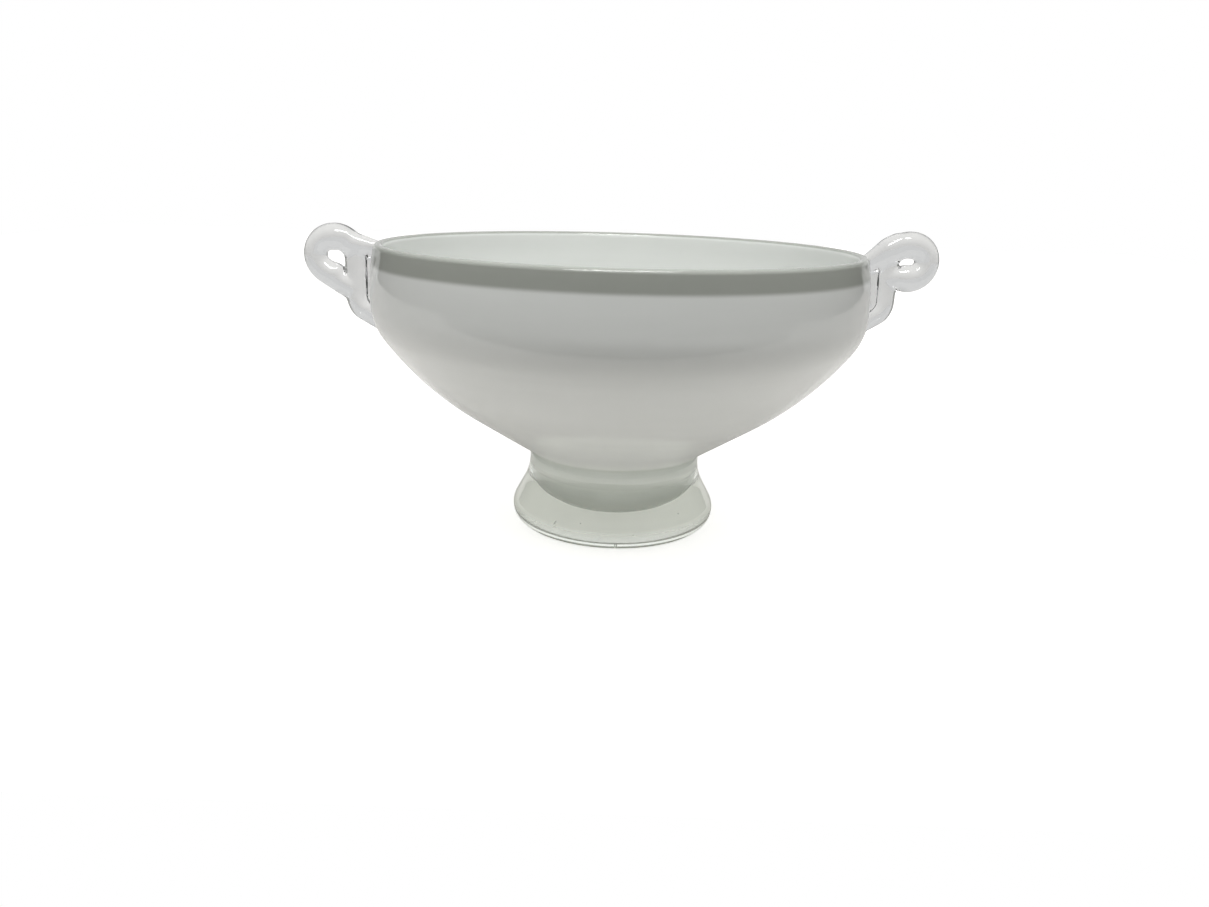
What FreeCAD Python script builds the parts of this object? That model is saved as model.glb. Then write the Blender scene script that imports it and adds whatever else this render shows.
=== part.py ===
import FreeCAD, Part
import math
import os

# Footed bowl of blown glass with a scroll handle on each side.
# The bowl is opal glass, and the foot and the two handles are clear glass fused to it.
# Millimetres, +Z up. The origin is on the bowl's axis, on the surface that the foot stands on.
# The handles lie in the plane of X and Z.

V = FreeCAD.Vector
AXIS_FOOT, UP, ACROSS = V(0, 0, 0), V(0, 0, 1), V(0, 1, 0)

# Foot, up to the neck where the bowl's flank leaves it
foot_height = 41.4
neck_radius = 45.8
collar_height = 12.0
collar_round = 28.0
foot_radius = 54.9
foot_edge_radius = 10.0

# Bowl, outside: a straight flank, a belly arc and a shoulder arc, each running into the next,
# and a wall that is drawn in slightly above the widest place
widest_radius = 127.5
shoulder_arc_radius = 30.0
shoulder_turn_deg = 35.9
belly_arc_radius = 157.3
belly_turn_deg = 21.3
rim_above_widest = 26.5
rim_draw_in = 2.2

# Bowl, wall and inside
wall = 5.0
bottom_thickness = 9.0
bottom_round = 22.0

# Opal bottom of the bowl, which reaches down into the clear foot
plug_radius = 30.0
plug_clear_below = 9.5
plug_round = 9.0
plug_top_round = 6.0

# Handles: a rod that lies on the wall, rises past the rim and rolls up outwards until its end
# stands just clear of the stem
stem_length = 21.0
tail_bend_radius = 9.0
tail_bend_deg = 49.0
tail_length = 22.0
tail_end_radius = 2.8
end_gap = 0.9

# Bead of glass that holds each stem to the wall: how deep it melts into both, and how far round the
# curl it climbs
bead_melt = 2.4
bead_climb_deg = 22.0

# The two handles were drawn by hand, so they differ in height, rod, curl and bead
HANDLES = {
    "handle_left": {"side": -1, "stand_off": 10.5, "curl_below_rim": 6.8, "curl_radius": 10.5,
                    "stem_rod": 5.7, "curl_rod": 6.0, "bead_above_rim": 2.2, "bead_length": 38.4},
    "handle_right": {"side": 1, "stand_off": 11.2, "curl_below_rim": 1.5, "curl_radius": 10.1,
                     "stem_rod": 5.0, "curl_rod": 5.6, "bead_above_rim": 2.8, "bead_length": 32.0},
}


def polar(centre, radius, angle):
    """A point of a circle in the plane of X and Z, with the angle in radians from +X towards +Z."""
    return centre + V(radius * math.cos(angle), 0, radius * math.sin(angle))


def arc(centre, radius, start, end):
    """An arc in the plane of X and Z, from one angle to another in radians."""
    middle = polar(centre, radius, (start + end) / 2)
    return Part.Arc(polar(centre, radius, start), middle, polar(centre, radius, end)).toShape()


def line(a, b):
    return Part.LineSegment(a, b).toShape()


def rounded(points, radii):
    """Edges through the points, with each corner between two straight runs turned into an arc."""
    edges, start = [], points[0]
    for before, corner, after, radius in zip(points, points[1:], points[2:], radii):
        back, on = (before - corner).normalize(), (after - corner).normalize()
        half = back.getAngle(on) / 2
        centre = corner + (back + on).normalize() * (radius / math.sin(half))
        arc_start = corner + back * (radius / math.tan(half))
        arc_middle = centre + (corner - centre).normalize() * radius
        arc_end = corner + on * (radius / math.tan(half))
        edges += [line(start, arc_start), Part.Arc(arc_start, arc_middle, arc_end).toShape()]
        start = arc_end
    return edges + [line(start, points[-1])]


def turned(edges):
    """The solid that a closed outline makes when it is turned about the bowl's axis."""
    return Part.Face(Part.Wire(Part.__sortEdges__(edges))).revolve(AXIS_FOOT, UP, 360)


class Outside:
    """The bowl's outer wall, worked up from the neck as tangent arcs and moved inwards by an offset."""

    def __init__(self, inwards=0.0):
        shoulder = math.radians(shoulder_turn_deg)
        flank = shoulder + math.radians(belly_turn_deg)
        self.shoulder_end, self.flank_angle = -shoulder, -flank
        self.down_flank = V(-math.sin(flank), 0, -math.cos(flank))

        rise = V(belly_arc_radius * (math.cos(flank) - math.cos(shoulder)) + shoulder_arc_radius
                 * (math.cos(shoulder) - 1), 0, belly_arc_radius * (math.sin(flank) - math.sin(shoulder))
                 + shoulder_arc_radius * math.sin(shoulder))
        flank_top_radius = widest_radius + rise.x
        self.neck = V(neck_radius, 0, foot_height)
        flank_top = self.neck - self.down_flank * ((flank_top_radius - neck_radius) / math.sin(flank))
        widest = V(widest_radius, 0, flank_top.z + rise.z)

        upper_radius = (rim_draw_in ** 2 + rim_above_widest ** 2) / (2 * rim_draw_in)
        shoulder_centre = widest - V(shoulder_arc_radius, 0, 0)
        belly_centre = polar(shoulder_centre, shoulder_arc_radius - belly_arc_radius, -shoulder)
        self.upper = (widest - V(upper_radius, 0, 0), upper_radius - inwards)
        self.shoulder = (shoulder_centre, shoulder_arc_radius - inwards)
        self.belly = (belly_centre, belly_arc_radius - inwards)
        self.rim_angle = math.asin(rim_above_widest / upper_radius)
        self.rim = polar(*self.upper, self.rim_angle)
        self.lip = (polar(self.upper[0], upper_radius - wall / 2, self.rim_angle), wall / 2)
        self.flank_top = polar(*self.belly, self.flank_angle)

    def wall(self):
        """The edges from the rim down to the flank's top."""
        return [
            arc(*self.upper, self.rim_angle, 0),
            arc(*self.shoulder, 0, self.shoulder_end),
            arc(*self.belly, self.shoulder_end, self.flank_angle),
        ]

    def at_height(self, height):
        """The point of the upper wall or the shoulder at a height."""
        centre, radius = self.upper if height > self.upper[0].z else self.shoulder
        return V(centre.x + math.sqrt(radius ** 2 - (height - centre.z) ** 2), 0, height)


def plug_edges(neck):
    """The edges of the opal glass inside the foot, from the neck down to the axis."""
    slope = Outside().down_flank
    top_corner = neck + slope * ((neck.x - plug_radius) / -slope.x)
    low_corner = V(plug_radius, 0, plug_clear_below)
    return rounded([neck, top_corner, low_corner, V(0, 0, plug_clear_below)], [plug_top_round, plug_round])


def bowl():
    """The opal bowl: a thin wall with a rounded rim, and a thick bottom that reaches into the foot."""
    outer, inner = Outside(), Outside(wall)
    floor = V(0, 0, outer.neck.z + bottom_thickness)
    floor_edge = inner.flank_top + inner.down_flank * ((floor.z - inner.flank_top.z) / inner.down_flank.z)
    outline = outer.wall() + [line(outer.flank_top, outer.neck)] + plug_edges(outer.neck)
    outline += [line(V(0, 0, plug_clear_below), floor)]
    outline += rounded([inner.flank_top, floor_edge, floor], [bottom_round]) + inner.wall()
    outline += [arc(*outer.lip, outer.rim_angle, outer.rim_angle + math.pi)]
    return turned(outline)


def foot():
    """The clear foot: a solid that flares in a hollow curve to a rounded edge, cast round the opal bottom."""
    neck = Outside().neck
    collar_foot = neck - V(0, 0, collar_height)
    edge_centre = V(foot_radius - foot_edge_radius, 0, foot_edge_radius)
    away = collar_foot - edge_centre
    lean = math.atan2(away.z, away.x) - math.acos(foot_edge_radius / away.Length)
    edge_top = polar(edge_centre, foot_edge_radius, lean)
    outline = [line(AXIS_FOOT, V(edge_centre.x, 0, 0)), arc(edge_centre, foot_edge_radius, -math.pi / 2, lean)]
    outline += rounded([edge_top, collar_foot, neck], [collar_round]) + plug_edges(neck)
    return turned(outline + [line(V(0, 0, plug_clear_below), AXIS_FOOT)])


def filled_bowl():
    """The bowl with its inside filled level with the lip, for shaping what lies on the wall."""
    outer = Outside()
    lip_top = polar(*outer.lip, math.pi / 2)
    floor, top = V(0, 0, outer.neck.z), V(0, 0, lip_top.z)
    return turned(outer.wall() + [line(outer.flank_top, outer.neck), line(outer.neck, floor), line(floor, top),
                                  line(top, lip_top), arc(*outer.lip, outer.rim_angle, math.pi / 2)])


def ring(at, along, radius):
    """A round face across the rod."""
    return Part.Face(Part.Wire([Part.Circle(at, along, radius).toShape()]))


def cone(start, end, start_radius, end_radius):
    """A straight stretch of rod that tapers."""
    return Part.makeCone(start_radius, end_radius, (end - start).Length, start, end - start)


def bead(stand_off, stem_rod, above_rim, length, climb_end):
    """The glass between the wall and the stem: a round bar that follows the wall and melts into both.

    Its top turns out over the stem and runs into the curl.
    """
    outer = Outside()
    reach = (stand_off - stem_rod) / 2
    radius = reach + bead_melt
    top = outer.rim.z + above_rim
    high = outer.at_height(top - radius) + V(reach, 0, 0)
    low = outer.at_height(top - length + radius) + V(reach, 0, 0)
    bar = Part.makeCylinder(radius, (high - low).Length, low, high - low)
    climb = Part.makeCylinder(radius, (climb_end - high).Length, high, climb_end - high)
    return bar.fuse([Part.makeSphere(radius, low), Part.makeSphere(radius, high), climb])


def handle(side, stand_off, curl_below_rim, curl_radius, stem_rod, curl_rod, bead_above_rim, bead_length):
    """One scroll handle, made for +X and turned over for the other side.

    The rod starts as a tail drawn out on the wall, bends up into the stem, thickens a little, rolls
    over outwards and down, and comes round until its rounded end faces the stem.
    """
    stem_top = V(widest_radius + stand_off, 0, Outside().rim.z - curl_below_rim)
    stem_foot = stem_top - V(0, 0, stem_length)
    bend = stem_foot - V(tail_bend_radius, 0, 0)
    bend_angle = -math.radians(tail_bend_deg)
    tail_top = polar(bend, tail_bend_radius, bend_angle)
    tail_end = tail_top + V(math.sin(bend_angle), 0, -math.cos(bend_angle)) * tail_length

    curl = stem_top + V(curl_radius, 0, 0)
    end_across = curl_rod + end_gap + curl_rod - curl_radius
    end_angle = -math.acos(end_across / curl_radius)
    curl_end = polar(curl, curl_radius, end_angle)

    rod = Part.makeSphere(tail_end_radius, tail_end).fuse([
        cone(tail_end, tail_top, tail_end_radius, stem_rod),
        ring(stem_foot, UP, stem_rod).revolve(bend, ACROSS, tail_bend_deg),
        cone(stem_foot, stem_top, stem_rod, curl_rod),
        ring(stem_top, UP, curl_rod).revolve(curl, ACROSS, 180 - math.degrees(end_angle)),
        Part.makeSphere(curl_rod, curl_end),
    ])
    climb_end = polar(curl, curl_radius, math.pi - math.radians(bead_climb_deg))
    joint = bead(stand_off, stem_rod, bead_above_rim, bead_length, climb_end)
    solid = rod.fuse(joint).removeSplitter().cut(filled_bowl())
    if side < 0:
        solid = solid.mirror(AXIS_FOOT, V(1, 0, 0))
    return solid


os.makedirs("parts", exist_ok=True)
NODES = {"bowl": bowl(), "foot": foot()}
for name, sizes in HANDLES.items():
    NODES[name] = handle(**sizes)
for name, shape in NODES.items():
    shape.exportStep("parts/" + name + ".step")
    box = shape.optimalBoundingBox(False, False)
    print(name, "solids", len(shape.Solids), "valid", shape.isValid(), "volume cm3", round(shape.Volume / 1000, 2),
          "x", round(box.XMin, 2), round(box.XMax, 2), "z", round(box.ZMin, 2), round(box.ZMax, 2))
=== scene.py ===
import math
import random
import bmesh
import bpy
from mathutils import Matrix, Vector


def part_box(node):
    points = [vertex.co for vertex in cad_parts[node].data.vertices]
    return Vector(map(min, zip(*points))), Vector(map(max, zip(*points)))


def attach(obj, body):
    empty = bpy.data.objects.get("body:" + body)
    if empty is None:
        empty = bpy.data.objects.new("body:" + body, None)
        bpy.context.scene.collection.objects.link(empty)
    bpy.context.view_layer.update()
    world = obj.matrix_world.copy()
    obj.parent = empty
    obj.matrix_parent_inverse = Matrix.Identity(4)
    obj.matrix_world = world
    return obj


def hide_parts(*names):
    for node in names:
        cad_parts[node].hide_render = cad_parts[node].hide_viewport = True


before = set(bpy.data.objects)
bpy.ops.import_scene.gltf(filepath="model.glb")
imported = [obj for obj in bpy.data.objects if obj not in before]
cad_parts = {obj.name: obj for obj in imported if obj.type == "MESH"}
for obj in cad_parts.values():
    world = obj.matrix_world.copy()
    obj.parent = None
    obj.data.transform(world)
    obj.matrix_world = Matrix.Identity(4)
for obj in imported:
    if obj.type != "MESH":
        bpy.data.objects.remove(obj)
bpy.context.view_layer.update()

# Camera. It stands half a metre in front of the bowl's axis and a little above the rim, and looks down.
# It was held by hand, so it is turned and tipped a little. Its picture is 1209 by 907 pixels.
MM = 0.001
PICTURE_WIDTH = 1209
FOCAL_LENGTH_PIXELS = 960
CAMERA_PLACE = Vector((0, -507.5, 184.5)) * MM
CAMERA_DOWN, CAMERA_TURN, CAMERA_TIP = (math.radians(a) for a in (16.20, -0.595, 1.732))

ahead = Vector((math.sin(CAMERA_TURN) * math.cos(CAMERA_DOWN),
                math.cos(CAMERA_TURN) * math.cos(CAMERA_DOWN), -math.sin(CAMERA_DOWN)))
right = ahead.cross(Vector((0, 0, 1))).normalized()
up = right.cross(ahead)
tipped_right = right * math.cos(CAMERA_TIP) + up * math.sin(CAMERA_TIP)
tipped_up = up * math.cos(CAMERA_TIP) - right * math.sin(CAMERA_TIP)
camera = bpy.data.objects.new("camera", bpy.data.cameras.new("camera"))
camera.data.lens = camera.data.sensor_width * FOCAL_LENGTH_PIXELS / PICTURE_WIDTH
camera.data.clip_start = 0.01
turn = Matrix((tipped_right, tipped_up, -ahead)).transposed()
camera.matrix_world = Matrix.Translation(CAMERA_PLACE) @ turn.to_4x4()
bpy.context.scene.collection.objects.link(camera)
bpy.context.scene.camera = camera
bpy.context.scene.view_settings.view_transform = "Standard"

# White studio. A sheet of matt white board lies under a white ceiling, in a room that is darker low
# down. The camera sees board and room as white, and glass shows them greyer towards its sides. The
# board keeps the bowl's shadow.
BOARD_WIDTH, BOARD_FRONT, BOARD_BACK = 3.0, -0.26, 2.4
BOARD_BELOW = 0.0003
BOARD_WHITE = "f3f1ee"
BOARD_LIFTS = {"Is Camera Ray": 0.65, "Is Transmission Ray": 0.39}
ROOM_LOW, ROOM_HIGH = 0.08, 0.94
ROOM_LOW_TO, ROOM_HIGH_FROM = 0.20, 0.95
BACKDROP_FROM, BACKDROP_TO, BACKDROP_SHINE = 0.75, 0.95, 0.55
BEHIND_GLASS_FROM, BEHIND_GLASS_TO, BESIDE_GLASS = 0.10, 0.60, 0.35


def hex_colour(text):
    """The linear colour of an sRGB hex value."""
    parts = [int(text[i:i + 2], 16) / 255 for i in (0, 2, 4)]
    return [p / 12.92 if p <= 0.04045 else ((p + 0.055) / 1.055) ** 2.4 for p in parts] + [1.0]


def add_node(tree, kind, settings, inputs):
    """Adds a node: settings are its options, and each input gets a value or a link from a socket."""
    node = tree.nodes.new(kind)
    for name, value in settings.items():
        setattr(node, name, value)
    for name, value in inputs.items():
        if isinstance(value, bpy.types.NodeSocket):
            tree.links.new(value, node.inputs[name])
        else:
            node.inputs[name].default_value = value
    return node


def new_material(name):
    """An empty material and its node tree."""
    material = bpy.data.materials.new(name)
    material.use_nodes = True
    material.node_tree.nodes.clear()
    return material, material.node_tree


def new_piece(name, shape, material):
    """A smooth mesh object made from a bmesh, with its place in its mesh."""
    mesh = bpy.data.meshes.new(name)
    bmesh.ops.recalc_face_normals(shape, faces=shape.faces)
    shape.to_mesh(mesh)
    shape.free()
    mesh.shade_smooth()
    mesh.materials.append(material)
    piece = bpy.data.objects.new(name, mesh)
    bpy.context.scene.collection.objects.link(piece)
    return piece


board_material, tree = new_material("matt_white_board")
board_shader = add_node(tree, "ShaderNodeBsdfDiffuse", {}, {"Color": hex_colour(BOARD_WHITE)})
rays = add_node(tree, "ShaderNodeLightPath", {}, {}).outputs
lift = 0.0
for kind, strength in BOARD_LIFTS.items():
    lift = add_node(tree, "ShaderNodeMath", {"operation": "MULTIPLY_ADD"},
                    {0: rays[kind], 1: strength, 2: lift}).outputs[0]
glow = add_node(tree, "ShaderNodeEmission", {}, {"Color": hex_colour("ffffff"), "Strength": lift})
both = add_node(tree, "ShaderNodeAddShader", {}, {0: board_shader.outputs[0], 1: glow.outputs[0]})
add_node(tree, "ShaderNodeOutputMaterial", {}, {"Surface": both.outputs[0]})
board_shape = bmesh.new()
bmesh.ops.create_grid(board_shape, x_segments=1, y_segments=1, size=0.5)
bmesh.ops.scale(board_shape, vec=(BOARD_WIDTH, BOARD_BACK - BOARD_FRONT, 1), verts=board_shape.verts)
bmesh.ops.translate(board_shape, vec=(0, (BOARD_BACK + BOARD_FRONT) / 2, -BOARD_BELOW),
                    verts=board_shape.verts)
board = new_piece("board", board_shape, board_material)

world = bpy.data.worlds.new("white_room")
world.use_nodes = True
tree = world.node_tree
tree.nodes.clear()
direction = add_node(tree, "ShaderNodeTexCoord", {}, {})
way = add_node(tree, "ShaderNodeSeparateXYZ", {}, {0: direction.outputs["Generated"]})
level = add_node(tree, "ShaderNodeMapRange", {"interpolation_type": "SMOOTHSTEP"},
                 {"Value": way.outputs["Z"], "From Min": ROOM_LOW_TO, "From Max": ROOM_HIGH_FROM,
                  "To Min": ROOM_LOW, "To Max": ROOM_HIGH})
backdrop = add_node(tree, "ShaderNodeMapRange", {"interpolation_type": "SMOOTHSTEP"},
                    {"Value": way.outputs["Y"], "From Min": BACKDROP_FROM, "From Max": BACKDROP_TO,
                     "To Max": BACKDROP_SHINE})
rays = add_node(tree, "ShaderNodeLightPath", {}, {}).outputs
along = add_node(tree, "ShaderNodeMath", {"operation": "ABSOLUTE"}, {0: way.outputs["Y"]})
behind_glass = add_node(tree, "ShaderNodeMapRange", {"interpolation_type": "SMOOTHSTEP"},
                        {"Value": along.outputs[0], "From Min": BEHIND_GLASS_FROM,
                         "From Max": BEHIND_GLASS_TO, "To Min": BESIDE_GLASS})
in_glass = add_node(tree, "ShaderNodeMath", {"operation": "MULTIPLY"},
                    {0: rays["Is Transmission Ray"], 1: behind_glass.outputs[0]})
mirrored = add_node(tree, "ShaderNodeMath", {"operation": "MAXIMUM"},
                    {0: backdrop.outputs[0], 1: in_glass.outputs[0]})
white_part = add_node(tree, "ShaderNodeMath", {"operation": "MAXIMUM"},
                      {0: rays["Is Camera Ray"], 1: mirrored.outputs[0]})
shown = add_node(tree, "ShaderNodeMapRange", {},
                 {"Value": white_part.outputs[0], "To Min": level.outputs[0], "To Max": 1.0})
room = add_node(tree, "ShaderNodeBackground", {},
                {"Color": hex_colour("ffffff"), "Strength": shown.outputs[0]})
add_node(tree, "ShaderNodeOutputWorld", {}, {"Surface": room.outputs[0]})
bpy.context.scene.world = world

# Lamp. One flat panel hangs over the front of the bowl and is turned a little to the left.
# It draws the white streaks along the rim and over the handles.
PANEL_SIZE = (520 * MM, 200 * MM)
PANEL_PLACE = Vector((-20, -340, 850)) * MM
PANEL_AIM = Vector((-200, 0, 120)) * MM
PANEL_WATTS = 4.6

panel = bpy.data.objects.new("panel", bpy.data.lights.new("panel", "AREA"))
panel.data.shape = "RECTANGLE"
panel.data.size, panel.data.size_y = PANEL_SIZE
panel.data.energy = PANEL_WATTS
panel.location = PANEL_PLACE
panel.rotation_euler = (PANEL_AIM - PANEL_PLACE).to_track_quat("-Z", "Y").to_euler()
bpy.context.scene.collection.objects.link(panel)

# Bowl. It is blown opal glass, white and slightly translucent, with a fire-polished skin that shines.
# The wall swells to a shoulder, draws in a little and ends in a rounded lip. Its bottom is a thick plug
# of the same glass, which fills the top of the hot foot's collar and then turns in.
SHOULDER_ARC, SHOULDER_TURN = 30.0 * MM, math.radians(35.9)
BELLY_ARC, BELLY_TURN = 157.3 * MM, math.radians(21.3)
RIM_DRAW_IN = 2.2 * MM
WALL = 5.0 * MM
NECK_RADIUS = 45.8 * MM
BOTTOM_THICKNESS, BOTTOM_ROUND = 9.0 * MM, 22.0 * MM
PLUG_RADIUS, PLUG_ROUND, PLUG_TOP_ROUND = 30.0 * MM, 9.0 * MM, 6.0 * MM
NECK_SKIRT, NECK_SKIN, SKIRT_ROUND = 6.0 * MM, 0.4 * MM, 9.0 * MM
TURN_STEPS = 224
BELLY_STEPS, SHOULDER_STEPS, UPPER_STEPS, LIP_STEPS = 14, 12, 8, 40
SKIRT_STEPS, PLUG_TOP_STEPS, PLUG_STEPS, BOTTOM_STEPS = 12, 8, 12, 14
WELD = 0.001 * MM

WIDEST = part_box("bowl")[1].x
LIP_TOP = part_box("bowl")[1].z
PLUG_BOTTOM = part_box("bowl")[0].z
NECK_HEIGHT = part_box("foot")[1].z


def polar(centre, radius, angle):
    """A point of a circle in the plane of X and Z, with the angle from +X towards +Z."""
    return centre + Vector((radius * math.cos(angle), 0, radius * math.sin(angle)))


def arc(centre, radius, start, end, steps):
    """Points along an arc, without its last."""
    return [polar(centre, radius, start + (end - start) * i / steps) for i in range(steps)]


def corner(before, at, after, radius, steps):
    """Points along the arc that rounds a corner, with both its ends."""
    back, on = (before - at).normalized(), (after - at).normalized()
    half = back.angle(on) / 2
    centre = at + (back + on).normalized() * (radius / math.sin(half))
    start = (at + back * (radius / math.tan(half)) - centre).normalized()
    end = (at + on * (radius / math.tan(half)) - centre).normalized()
    return [centre + start.slerp(end, i / steps) * radius for i in range(steps + 1)]


def turned(outline, steps):
    """The closed shape that an outline makes when it is turned about the bowl's axis."""
    shape = bmesh.new()
    points = [shape.verts.new(p) for p in outline]
    lines = [shape.edges.new(pair) for pair in zip(points, points[1:])]
    bmesh.ops.spin(shape, geom=points + lines, axis=(0, 0, 1), cent=(0, 0, 0), steps=steps,
                   angle=2 * math.pi, use_merge=True)
    bmesh.ops.remove_doubles(shape, verts=shape.verts, dist=WELD)
    return shape


# The outline is worked up from the neck, as straight flank, belly arc, shoulder arc and upper wall
flank_lean = SHOULDER_TURN + BELLY_TURN
down_flank = Vector((-math.sin(flank_lean), 0, -math.cos(flank_lean)))
neck = Vector((NECK_RADIUS, 0, NECK_HEIGHT))
centres_apart = polar(Vector(), BELLY_ARC - SHOULDER_ARC, -SHOULDER_TURN)
belly_drop = polar(Vector(), BELLY_ARC, -flank_lean) - centres_apart - Vector((SHOULDER_ARC, 0, 0))
flank_top_radius = WIDEST + belly_drop.x
flank_top = neck - down_flank * ((flank_top_radius - NECK_RADIUS) / math.sin(flank_lean))
widest = Vector((WIDEST, 0, flank_top.z - belly_drop.z))
shoulder_centre = widest - Vector((SHOULDER_ARC, 0, 0))
belly_centre = polar(shoulder_centre, SHOULDER_ARC - BELLY_ARC, -SHOULDER_TURN)
# The rim is the lip's outer edge, about half a wall under its top, because the wall leans in only a little
rim_rise = LIP_TOP - WALL / 2 - widest.z + 0.5 * WALL * math.sin(RIM_DRAW_IN / (LIP_TOP - widest.z))
upper_arc = (RIM_DRAW_IN ** 2 + rim_rise ** 2) / (2 * RIM_DRAW_IN)
upper_centre = widest - Vector((upper_arc, 0, 0))
rim_lean = math.asin(rim_rise / upper_arc)


def wall_points(inwards):
    """The wall from the top of the straight flank up to the rim, moved inwards."""
    return (arc(belly_centre, BELLY_ARC - inwards, -flank_lean, -SHOULDER_TURN, BELLY_STEPS)
            + arc(shoulder_centre, SHOULDER_ARC - inwards, -SHOULDER_TURN, 0, SHOULDER_STEPS)
            + arc(upper_centre, upper_arc - inwards, 0, rim_lean, UPPER_STEPS))


lip_centre = polar(upper_centre, upper_arc - WALL / 2, rim_lean)
lip = arc(lip_centre, WALL / 2, rim_lean, rim_lean + math.pi, LIP_STEPS)
inner_flank_top = polar(belly_centre, BELLY_ARC - WALL, -flank_lean)
floor_centre = Vector((0, 0, NECK_HEIGHT + BOTTOM_THICKNESS))
floor_edge = inner_flank_top + down_flank * ((floor_centre.z - inner_flank_top.z) / down_flank.z)
skirt = neck - Vector((NECK_SKIN, 0, NECK_SKIRT))
plug_top = skirt + down_flank * ((skirt.x - PLUG_RADIUS) / math.sin(flank_lean))
plug_edge, plug_centre = Vector((PLUG_RADIUS, 0, PLUG_BOTTOM)), Vector((0, 0, PLUG_BOTTOM))
plug = (corner(skirt + Vector((0, 0, NECK_SKIRT)), skirt, plug_top, SKIRT_ROUND, SKIRT_STEPS)
        + corner(skirt, plug_top, plug_edge, PLUG_TOP_ROUND, PLUG_TOP_STEPS)
        + corner(plug_top, plug_edge, plug_centre, PLUG_ROUND, PLUG_STEPS))
bottom = corner(inner_flank_top, floor_edge, floor_centre, BOTTOM_ROUND, BOTTOM_STEPS)
bowl_outline = ([plug_centre] + plug[::-1] + [neck] + wall_points(0) + lip + wall_points(WALL)[::-1]
                + bottom + [floor_centre])

# Opal glass. The white comes from fine particles in the melt, so its colour is soft and slightly
# green, with faint drawn-out streaks round the bowl. Its skin is glass, so its gloss is sharp.
# In the last centimetre up to the lip, and over the lip nearly to its inner side, the outer glass is coloured
# a darker grey band. From the flank's lowest part down through the plug the colour is painted paler, a painted
# light that lifts the shade under the overhanging flank; the glass is thick there, so light also scatters
# deeper.
# Down the plug the colour is painted darker towards its bottom, a painted shade where it curves under.
OPAL_WHITE, OPAL_STREAK, OPAL_NECK_LIGHT, OPAL_BAND_AND_SHADE = "e8eae7", "e0e2df", "f4f6f2", "abaea7"
MILKY_DEPTH, MILKY_PLUG_DEPTH = 1.5 * MM, 6.0 * MM
BAND_HEIGHT, BAND_EDGE = 10.3 * MM, 2.6 * MM
BAND_ENDS, BAND_FADES = 0.44 * WALL, 0.34 * WALL
STREAK_LENGTH, STREAK_HEIGHT = 167 * MM, 11.1 * MM
NECK_ZONE_ABOVE, NECK_ZONE_BELOW = 8 * MM, 1 * MM
SHADE_BELOW_NECK, SHADE_MOST = 8 * MM, 0.9
GLOSS, GLASS_BEND = 0.06, 1.5

opal, tree = new_material("opal_glass")
place = add_node(tree, "ShaderNodeTexCoord", {}, {}).outputs["Object"]
drawn = add_node(tree, "ShaderNodeMapping", {},
                 {"Vector": place, "Scale": (1 / STREAK_LENGTH, 1 / STREAK_LENGTH, 1 / STREAK_HEIGHT)})
streaks = add_node(tree, "ShaderNodeTexNoise", {}, {"Vector": drawn.outputs[0], "Scale": 1.0, "Detail": 4.0,
                                                    "Distortion": 0.6})
white = add_node(tree, "ShaderNodeMix", {"data_type": "RGBA"},
                 {"Factor": streaks.outputs["Fac"], 6: hex_colour(OPAL_WHITE), 7: hex_colour(OPAL_STREAK)})
parts = add_node(tree, "ShaderNodeSeparateXYZ", {}, {0: place})
flat = add_node(tree, "ShaderNodeCombineXYZ", {}, {"X": parts.outputs["X"], "Y": parts.outputs["Y"]})
radius = add_node(tree, "ShaderNodeVectorMath", {"operation": "LENGTH"},
                  {0: flat.outputs[0]}).outputs["Value"]
# A darker grey band on the outer face and the lip, from a centimetre under the lip top
above = add_node(tree, "ShaderNodeMapRange", {"interpolation_type": "SMOOTHSTEP"},
                 {"Value": parts.outputs["Z"], "From Min": LIP_TOP - BAND_HEIGHT - BAND_EDGE / 2,
                  "From Max": LIP_TOP - BAND_HEIGHT + BAND_EDGE / 2})
# The band goes over the lip and ends near its inner side, measured square to the leaning wall
upright = add_node(tree, "ShaderNodeMath", {"operation": "MULTIPLY_ADD"},
                   {0: parts.outputs["Z"], 1: math.tan(rim_lean), 2: radius})
lip_axis = lip_centre.x + lip_centre.z * math.tan(rim_lean)
outside = add_node(tree, "ShaderNodeMapRange", {},
                   {"Value": upright.outputs[0], "From Min": lip_axis - BAND_ENDS,
                    "From Max": lip_axis - BAND_FADES})
dark_band = add_node(tree, "ShaderNodeMath", {"operation": "MULTIPLY"},
                {0: above.outputs[0], 1: outside.outputs[0]})
# Painted shade: the plug is coloured darker towards its bottom, where it curves under away from the light
plug_shade = add_node(tree, "ShaderNodeMapRange", {"interpolation_type": "SMOOTHSTEP"},
                {"Value": parts.outputs["Z"], "From Min": NECK_HEIGHT - SHADE_BELOW_NECK,
                 "From Max": PLUG_BOTTOM, "To Max": SHADE_MOST})
# Painted light: the flank's lowest part and the plug are coloured paler, lifting the shade under the flank;
# the same ramp lets light scatter deeper in the subsurface where the glass is thick
thick_and_lit = add_node(tree, "ShaderNodeMapRange", {"interpolation_type": "SMOOTHSTEP"},
                 {"Value": parts.outputs["Z"], "From Min": NECK_HEIGHT + NECK_ZONE_ABOVE,
                  "From Max": NECK_HEIGHT - NECK_ZONE_BELOW})
neck_light = add_node(tree, "ShaderNodeMix", {"data_type": "RGBA"},
                 {"Factor": thick_and_lit.outputs[0], 6: white.outputs[2], 7: hex_colour(OPAL_NECK_LIGHT)})
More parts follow.
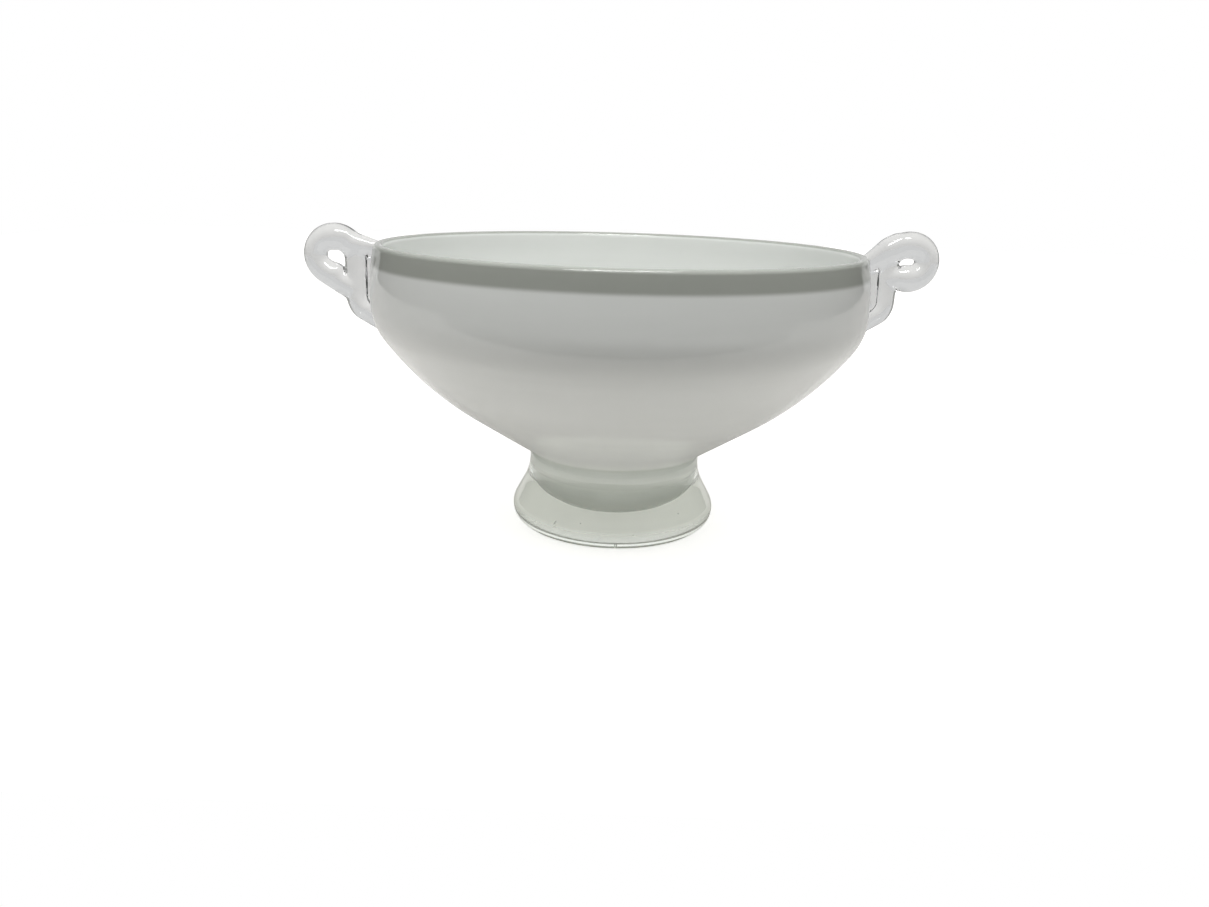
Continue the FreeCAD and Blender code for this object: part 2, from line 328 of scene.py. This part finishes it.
# The darker band under the lip and the painted shade on the plug darken the colour the same way
band_and_shade = add_node(tree, "ShaderNodeMath", {"operation": "MAXIMUM"}, {0: dark_band.outputs[0], 1: plug_shade.outputs[0]})
colour = add_node(tree, "ShaderNodeMix", {"data_type": "RGBA"},
                  {"Factor": band_and_shade.outputs[0], 6: neck_light.outputs[2], 7: hex_colour(OPAL_BAND_AND_SHADE)})
milky = add_node(tree, "ShaderNodeMapRange", {},
                 {"Value": thick_and_lit.outputs[0], "To Min": MILKY_DEPTH, "To Max": MILKY_PLUG_DEPTH})
opal_shader = add_node(tree, "ShaderNodeBsdfPrincipled", {},
                       {"Base Color": colour.outputs[2], "Roughness": GLOSS, "IOR": GLASS_BEND,
                        "Subsurface Weight": 1.0, "Subsurface Radius": (1.0, 1.0, 1.0),
                        "Subsurface Scale": milky.outputs[0]})
add_node(tree, "ShaderNodeOutputMaterial", {}, {"Surface": opal_shader.outputs[0]})

bowl = new_piece("opal_bowl", turned(bowl_outline, TURN_STEPS), opal)
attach(bowl, "root")
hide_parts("bowl")

# Foot. It is a solid block of clear glass, gathered hot round the bowl's plug and flared in a hollow
# curve, with a short straight collar under the bowl, a rounded edge and a flat ground underside.
COLLAR, COLLAR_ROUND = 12.0 * MM, 28.0 * MM
FOOT_EDGE = 10.0 * MM
FOOT_EDGE_STEPS, COLLAR_STEPS = 24, 16
FUSED = 0.3 * MM
FOOT_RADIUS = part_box("foot")[1].x

collar_foot = neck - Vector((0, 0, COLLAR))
edge_centre = Vector((FOOT_RADIUS - FOOT_EDGE, 0, FOOT_EDGE))
away = collar_foot - edge_centre
edge_lean = math.atan2(away.z, away.x) - math.acos(FOOT_EDGE / away.length)
edge_top = polar(edge_centre, FOOT_EDGE, edge_lean)
# The pocket runs a hair inside the plug, so that no gap shows between the two glasses
pocket = [p + Vector((-FUSED, 0, FUSED)) for p in plug]
foot_outline = ([Vector()] + arc(edge_centre, FOOT_EDGE, -math.pi / 2, edge_lean, FOOT_EDGE_STEPS) + [edge_top]
                + corner(edge_top, collar_foot, neck, COLLAR_ROUND, COLLAR_STEPS)
                + [neck, neck + Vector((-3 * FUSED, 0, FUSED))] + pocket
                + [plug_centre + Vector((0, 0, FUSED))])

# Clear glass. It is clear studio glass with a fire-polished skin, so it is smooth and bends what lies
# behind it. Iron in the sand gives it a faint grey green, and cords from the gather a faint unevenness.
# The handles' glass is tinted a deeper grey than that, a painted shade for the duller surroundings seen
# through the rods.
CLEAR_TINT, CLEAR_CORD = "f6f9f4", "eef2ec"
# Painted shade: the handles' deeper grey tint stands for the duller surroundings seen through them
DRAWN_SHADED_TINT, DRAWN_SHADED_CORD = "d2d3d3", "c7c8c8"
CORD_SIZE = 16.7 * MM


def glass(name, tint, cord):
    """Clear glass with faint cords, which lets the lamp's light through to what it covers."""
    material, tree = new_material(name)
    place = add_node(tree, "ShaderNodeTexCoord", {}, {}).outputs["Object"]
    cords = add_node(tree, "ShaderNodeTexNoise", {},
                     {"Vector": place, "Scale": 1 / CORD_SIZE, "Distortion": 1.5})
    tone = add_node(tree, "ShaderNodeMix", {"data_type": "RGBA"},
                    {"Factor": cords.outputs["Fac"], 6: hex_colour(tint), 7: hex_colour(cord)})
    shader = add_node(tree, "ShaderNodeBsdfPrincipled", {},
                      {"Base Color": tone.outputs[2], "Roughness": 0.0, "IOR": GLASS_BEND,
                       "Transmission Weight": 1.0})
    passed = add_node(tree, "ShaderNodeBsdfTransparent", {}, {"Color": tone.outputs[2]})
    shadow = add_node(tree, "ShaderNodeLightPath", {}, {}).outputs["Is Shadow Ray"]
    both = add_node(tree, "ShaderNodeMixShader", {}, {0: shadow, 1: shader.outputs[0], 2: passed.outputs[0]})
    add_node(tree, "ShaderNodeOutputMaterial", {}, {"Surface": both.outputs[0]})
    return material


clear = glass("clear_glass", CLEAR_TINT, CLEAR_CORD)
drawn_clear = glass("drawn_clear_glass", DRAWN_SHADED_TINT, DRAWN_SHADED_CORD)

# Ground glass. The underside is ground flat on a wheel. Its pits break up the mirror that polished
# glass would have there, so it shows the board's white through the foot as a plain pale tone.
GROUND_WHITE = "e7e9e2"
GROUND_BEND, GROUND_GRAIN = 1.03, 0.4

ground, tree = new_material("ground_glass")
ground_shader = add_node(tree, "ShaderNodeBsdfPrincipled", {},
                         {"Base Color": hex_colour(GROUND_WHITE), "Roughness": GROUND_GRAIN,
                          "IOR": GROUND_BEND, "Transmission Weight": 1.0})
add_node(tree, "ShaderNodeOutputMaterial", {}, {"Surface": ground_shader.outputs[0]})

foot = new_piece("clear_foot", turned(foot_outline, TURN_STEPS), clear)
foot.data.materials.append(ground)
for face in foot.data.polygons:
    if face.center.z < 0.01 * MM:
        face.material_index = 1

# Bubbles. A few seeds of air stayed in the gather, small round hollows in the clear glass. Their faces
# look inwards, because the glass is outside them.
BUBBLES = 9
BUBBLE_RADIUS = (0.25 * MM, 0.5 * MM)
BUBBLE_RING = (38 * MM, 47 * MM)
BUBBLE_HEIGHT = (4 * MM, 11 * MM)
BUBBLE_SIDE = (-2.6, -0.6)

random.seed(7)
seeded = bmesh.new()
for bubble in range(BUBBLES):
    around, out = random.uniform(*BUBBLE_SIDE), random.uniform(*BUBBLE_RING)
    centre = Vector((out * math.cos(around), out * math.sin(around), random.uniform(*BUBBLE_HEIGHT)))
    bmesh.ops.create_icosphere(seeded, subdivisions=3, radius=random.uniform(*BUBBLE_RADIUS),
                               matrix=Matrix.Translation(centre))
bmesh.ops.recalc_face_normals(seeded, faces=seeded.faces)
bmesh.ops.reverse_faces(seeded, faces=seeded.faces)
for face in seeded.faces:
    face.smooth = True
seeded.from_mesh(foot.data)
seeded.to_mesh(foot.data)
seeded.free()
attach(foot, "root")
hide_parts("foot")

# Handles. Each is one hot rod of the same clear glass. Its tail is drawn out on the wall, it rises past
# the rim, swells and rolls up outwards, and a bead of glass fixes it to the wall and the lip.
# They were drawn by hand, so each has its own sizes.
STEM_LENGTH = 21.0 * MM
TAIL_BEND, TAIL_TURN = 9.0 * MM, math.radians(49.0)
TAIL_LENGTH, TAIL_END = 18.5 * MM, 2.2 * MM
BEAD_MELT = 2.2 * MM
BEAD_FLATNESS = 0.65
ROD_STEPS, STRAIGHT_STEPS, CURL_STEPS, END_STEPS, BAR_STEPS = 40, 8, 48, 6, 6
MELT_GRAIN, MELT_ROUNDS = 0.4 * MM, 90

# In millimetres and radians. rods are the rod's radii at the stem's foot and top, and at the curl's top,
# outer side, low side and end. A climb is where a bar ends: how far from the curl's centre, how many
# degrees above level towards the wall, and its radius.
HANDLES = {
    "handle_left": {"side": -1, "stand_off": 10.5, "below_rim": 6.8, "curl": 16.5, "end_turn": 1.48,
                    "rods": (5.8, 5.85, 7.2, 6.0, 6.4, 6.0), "above_rim": 1.8, "bead_length": 37.4,
                    "climb": [(10.2, 35, 6.8)], "spread_from": 0.98, "spread": 14.0},
    "handle_right": {"side": 1, "stand_off": 11.2, "below_rim": 1.5, "curl": 15.62, "end_turn": 1.62,
                     "rods": (5.1, 5.3, 7.2, 6.2, 7.2, 6.2), "above_rim": 2.6, "bead_length": 31.2,
                     "climb": [(11.5, 28, 7.2), (9.6, 52, 7.2)], "spread_from": 1.57, "spread": 4.5},
}

rim = polar(upper_centre, upper_arc, rim_lean)


def rod(shape, stations):
    """A closed round rod through stations, each a place, a direction in the plane of X and Z and a radius."""
    ring = bmesh.ops.create_circle(shape, segments=ROD_STEPS, radius=1.0)["verts"]
    edges, placed = list({edge for vert in ring for edge in vert.link_edges}), Matrix.Identity(4)
    for place, heading, radius in stations:
        target = (Matrix.Translation(place) @ Matrix.Rotation(math.pi / 2 - heading, 4, "Y")
                  @ Matrix.Scale(radius, 4))
        bmesh.ops.transform(shape, matrix=target @ placed.inverted(), verts=ring)
        placed = target
        made = bmesh.ops.extrude_edge_only(shape, edges=edges)["geom"]
        ring = [part for part in made if isinstance(part, bmesh.types.BMVert)]
        edges = [part for part in made if isinstance(part, bmesh.types.BMEdge)]
    bmesh.ops.remove_doubles(shape, verts=shape.verts, dist=WELD)
    bmesh.ops.holes_fill(shape, edges=shape.edges, sides=0)


def rounded_ends(stations, steps):
    """The stations with a half ball of stations before the first and after the last."""
    ends = []
    for (place, heading, radius), way in ((stations[0], -1), (stations[-1], 1)):
        along = Vector((math.cos(heading), 0, math.sin(heading))) * way
        turns = [math.pi / 2 * (i + 1) / (steps + 1) for i in range(steps)]
        ends.append([(place + along * radius * math.sin(a), heading, radius * math.cos(a)) for a in turns])
    return ends[0][::-1] + stations + ends[1]


def at_height(height):
    """The point of the outer wall at a height."""
    centre, radius = (upper_centre, upper_arc) if height > widest.z else (shoulder_centre, SHOULDER_ARC)
    return Vector((centre.x + math.sqrt(radius ** 2 - (height - centre.z) ** 2), 0, height))


def straight(start, end, start_radius, end_radius, steps):
    """Stations along a straight stretch."""
    way = end - start
    heading = math.atan2(way.z, way.x)
    return [(start.lerp(end, i / steps), heading, start_radius + (end_radius - start_radius) * i / steps)
            for i in range(steps + 1)]


def scroll(side, stand_off, below_rim, curl, end_turn, rods, above_rim, bead_length, climb,
           spread_from, spread):
    """One handle, made for +X and mirrored for the other side."""
    stem_foot_rod, stem_top_rod, top_rod, outer_rod, low_rod, end_rod = (r * MM for r in rods)
    stem_top = Vector((WIDEST + stand_off * MM, 0, rim.z - below_rim * MM))
    stem_foot = stem_top - Vector((0, 0, STEM_LENGTH))
    bend = stem_foot - Vector((TAIL_BEND, 0, 0))
    tail_top = polar(bend, TAIL_BEND, -TAIL_TURN)
    tail_end = tail_top + Vector((math.sin(-TAIL_TURN), 0, -math.cos(TAIL_TURN))) * TAIL_LENGTH
    stations = straight(tail_end, tail_top, TAIL_END, stem_foot_rod, STRAIGHT_STEPS)[:-1]
    for step in range(STRAIGHT_STEPS):
        left_to_turn = TAIL_TURN * (1 - step / STRAIGHT_STEPS)
        stations.append((polar(bend, TAIL_BEND, -left_to_turn), math.pi / 2 - left_to_turn, stem_foot_rod))
    stations += straight(stem_foot, stem_top, stem_foot_rod, stem_top_rod, STRAIGHT_STEPS)[:-1]
    outer = curl * MM
    centre = stem_top + Vector((outer - stem_top_rod, 0, 0))
    quarters = (stem_top_rod, top_rod, outer_rod, low_rod, end_rod)
    for turn in [(math.pi + end_turn) * i / CURL_STEPS for i in range(CURL_STEPS + 1)]:
        quarter = min(int(turn / (math.pi / 2)), 3)
        ease = (1 - math.cos(math.pi * (turn / (math.pi / 2) - quarter))) / 2
        radius = quarters[quarter] + (quarters[quarter + 1] - quarters[quarter]) * ease
        angle = math.pi - turn
        stations.append((polar(centre, outer - radius, angle), angle - math.pi / 2, radius))
    shape = bmesh.new()
    rod(shape, rounded_ends(stations, END_STEPS))

    reach = (stand_off * MM - stem_foot_rod) / 2
    bead_radius = reach + BEAD_MELT
    bead_top = rim.z + above_rim * MM
    high = at_height(bead_top - bead_radius) + Vector((reach, 0, 0))
    low = at_height(bead_top - bead_length * MM + bead_radius) + Vector((reach, 0, 0))
    # The joint on the wall, the bars that climb to the curl, and the curl's end where it spreads on the stem
    bars = [(low, high, bead_radius, bead_radius, BEAD_FLATNESS)]
    for distance, rise, shoulder in climb:
        place = polar(centre, distance * MM, math.pi - math.radians(rise))
        bars.append((bars[-1][1], place, bars[-1][3], shoulder * MM, 1.0))
    spread_start = polar(centre, outer - low_rod, -spread_from)
    spread_way = polar(Vector(), spread * MM, -spread_from - math.pi / 2)
    bars.append((spread_start, spread_start + spread_way, low_rod, end_rod, 1.0))
    for start, end, start_radius, end_radius, flatness in bars:
        bead = bmesh.new()
        rod(bead, rounded_ends(straight(start, end, start_radius, end_radius, BAR_STEPS), END_STEPS))
        bmesh.ops.scale(bead, vec=(1, flatness, 1), verts=bead.verts)
        loose = bpy.data.meshes.new("bead")
        bead.to_mesh(loose)
        bead.free()
        shape.from_mesh(loose)
    if side < 0:
        bmesh.ops.scale(shape, vec=(-1, 1, 1), verts=shape.verts)
    return shape


for name, sizes in HANDLES.items():
    handle = new_piece(name.replace("handle", "scroll"), scroll(**sizes), drawn_clear)
    melt = handle.modifiers.new("melt", "REMESH")
    melt.mode = "VOXEL"
    melt.voxel_size = MELT_GRAIN
    melt.use_smooth_shade = True
    flow = handle.modifiers.new("flow", "SMOOTH")
    flow.iterations = MELT_ROUNDS
    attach(handle, "root")
    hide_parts(name)
